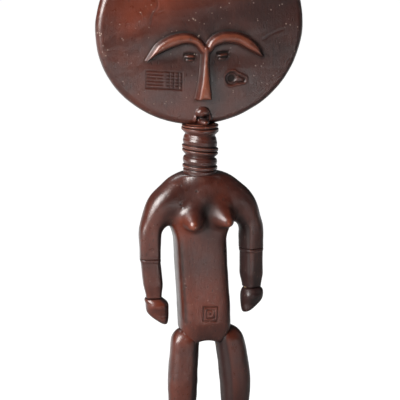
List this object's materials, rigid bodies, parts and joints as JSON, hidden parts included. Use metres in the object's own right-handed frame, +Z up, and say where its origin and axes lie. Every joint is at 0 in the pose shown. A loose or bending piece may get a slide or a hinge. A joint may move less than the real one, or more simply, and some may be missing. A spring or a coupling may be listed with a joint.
{
  "type": "fertility doll",
  "caption": "Standing wooden fertility doll with a large disc head, ringed neck, hanging arms and separate legs, glued up from carved pieces on round dowels.",
  "frame": {"origin": "on the floor, midway between the two soles and at the middle of the feet front to back", "axes": "+Z up through the doll, -Y the way the face looks, +X towards the doll's left side"},
  "size_m": [0.126, 0.044, 0.3455],
  "materials": {
    "stained_wood": "dark red-brown stain under a glossy lacquer, worn to copper on the raised edges",
    "dowel_wood": "plain turned hardwood"
  },
  "bodies": {
    "root": {"head": "stained_wood", "neck": "stained_wood", "torso": "stained_wood", "right_forearm": "stained_wood", "left_forearm": "stained_wood", "right_hand": "stained_wood", "left_hand": "stained_wood", "right_thigh": "stained_wood", "left_thigh": "stained_wood", "right_calf": "stained_wood", "left_calf": "stained_wood", "right_foot": "stained_wood", "left_foot": "stained_wood", "neck_dowel": "dowel_wood", "right_elbow_dowel": "dowel_wood", "left_elbow_dowel": "dowel_wood", "right_wrist_dowel": "dowel_wood", "left_wrist_dowel": "dowel_wood", "right_hip_dowel": "dowel_wood", "left_hip_dowel": "dowel_wood", "right_knee_dowel": "dowel_wood", "left_knee_dowel": "dowel_wood", "right_ankle_dowel": "dowel_wood", "left_ankle_dowel": "dowel_wood"}
  },
  "joints": []
}
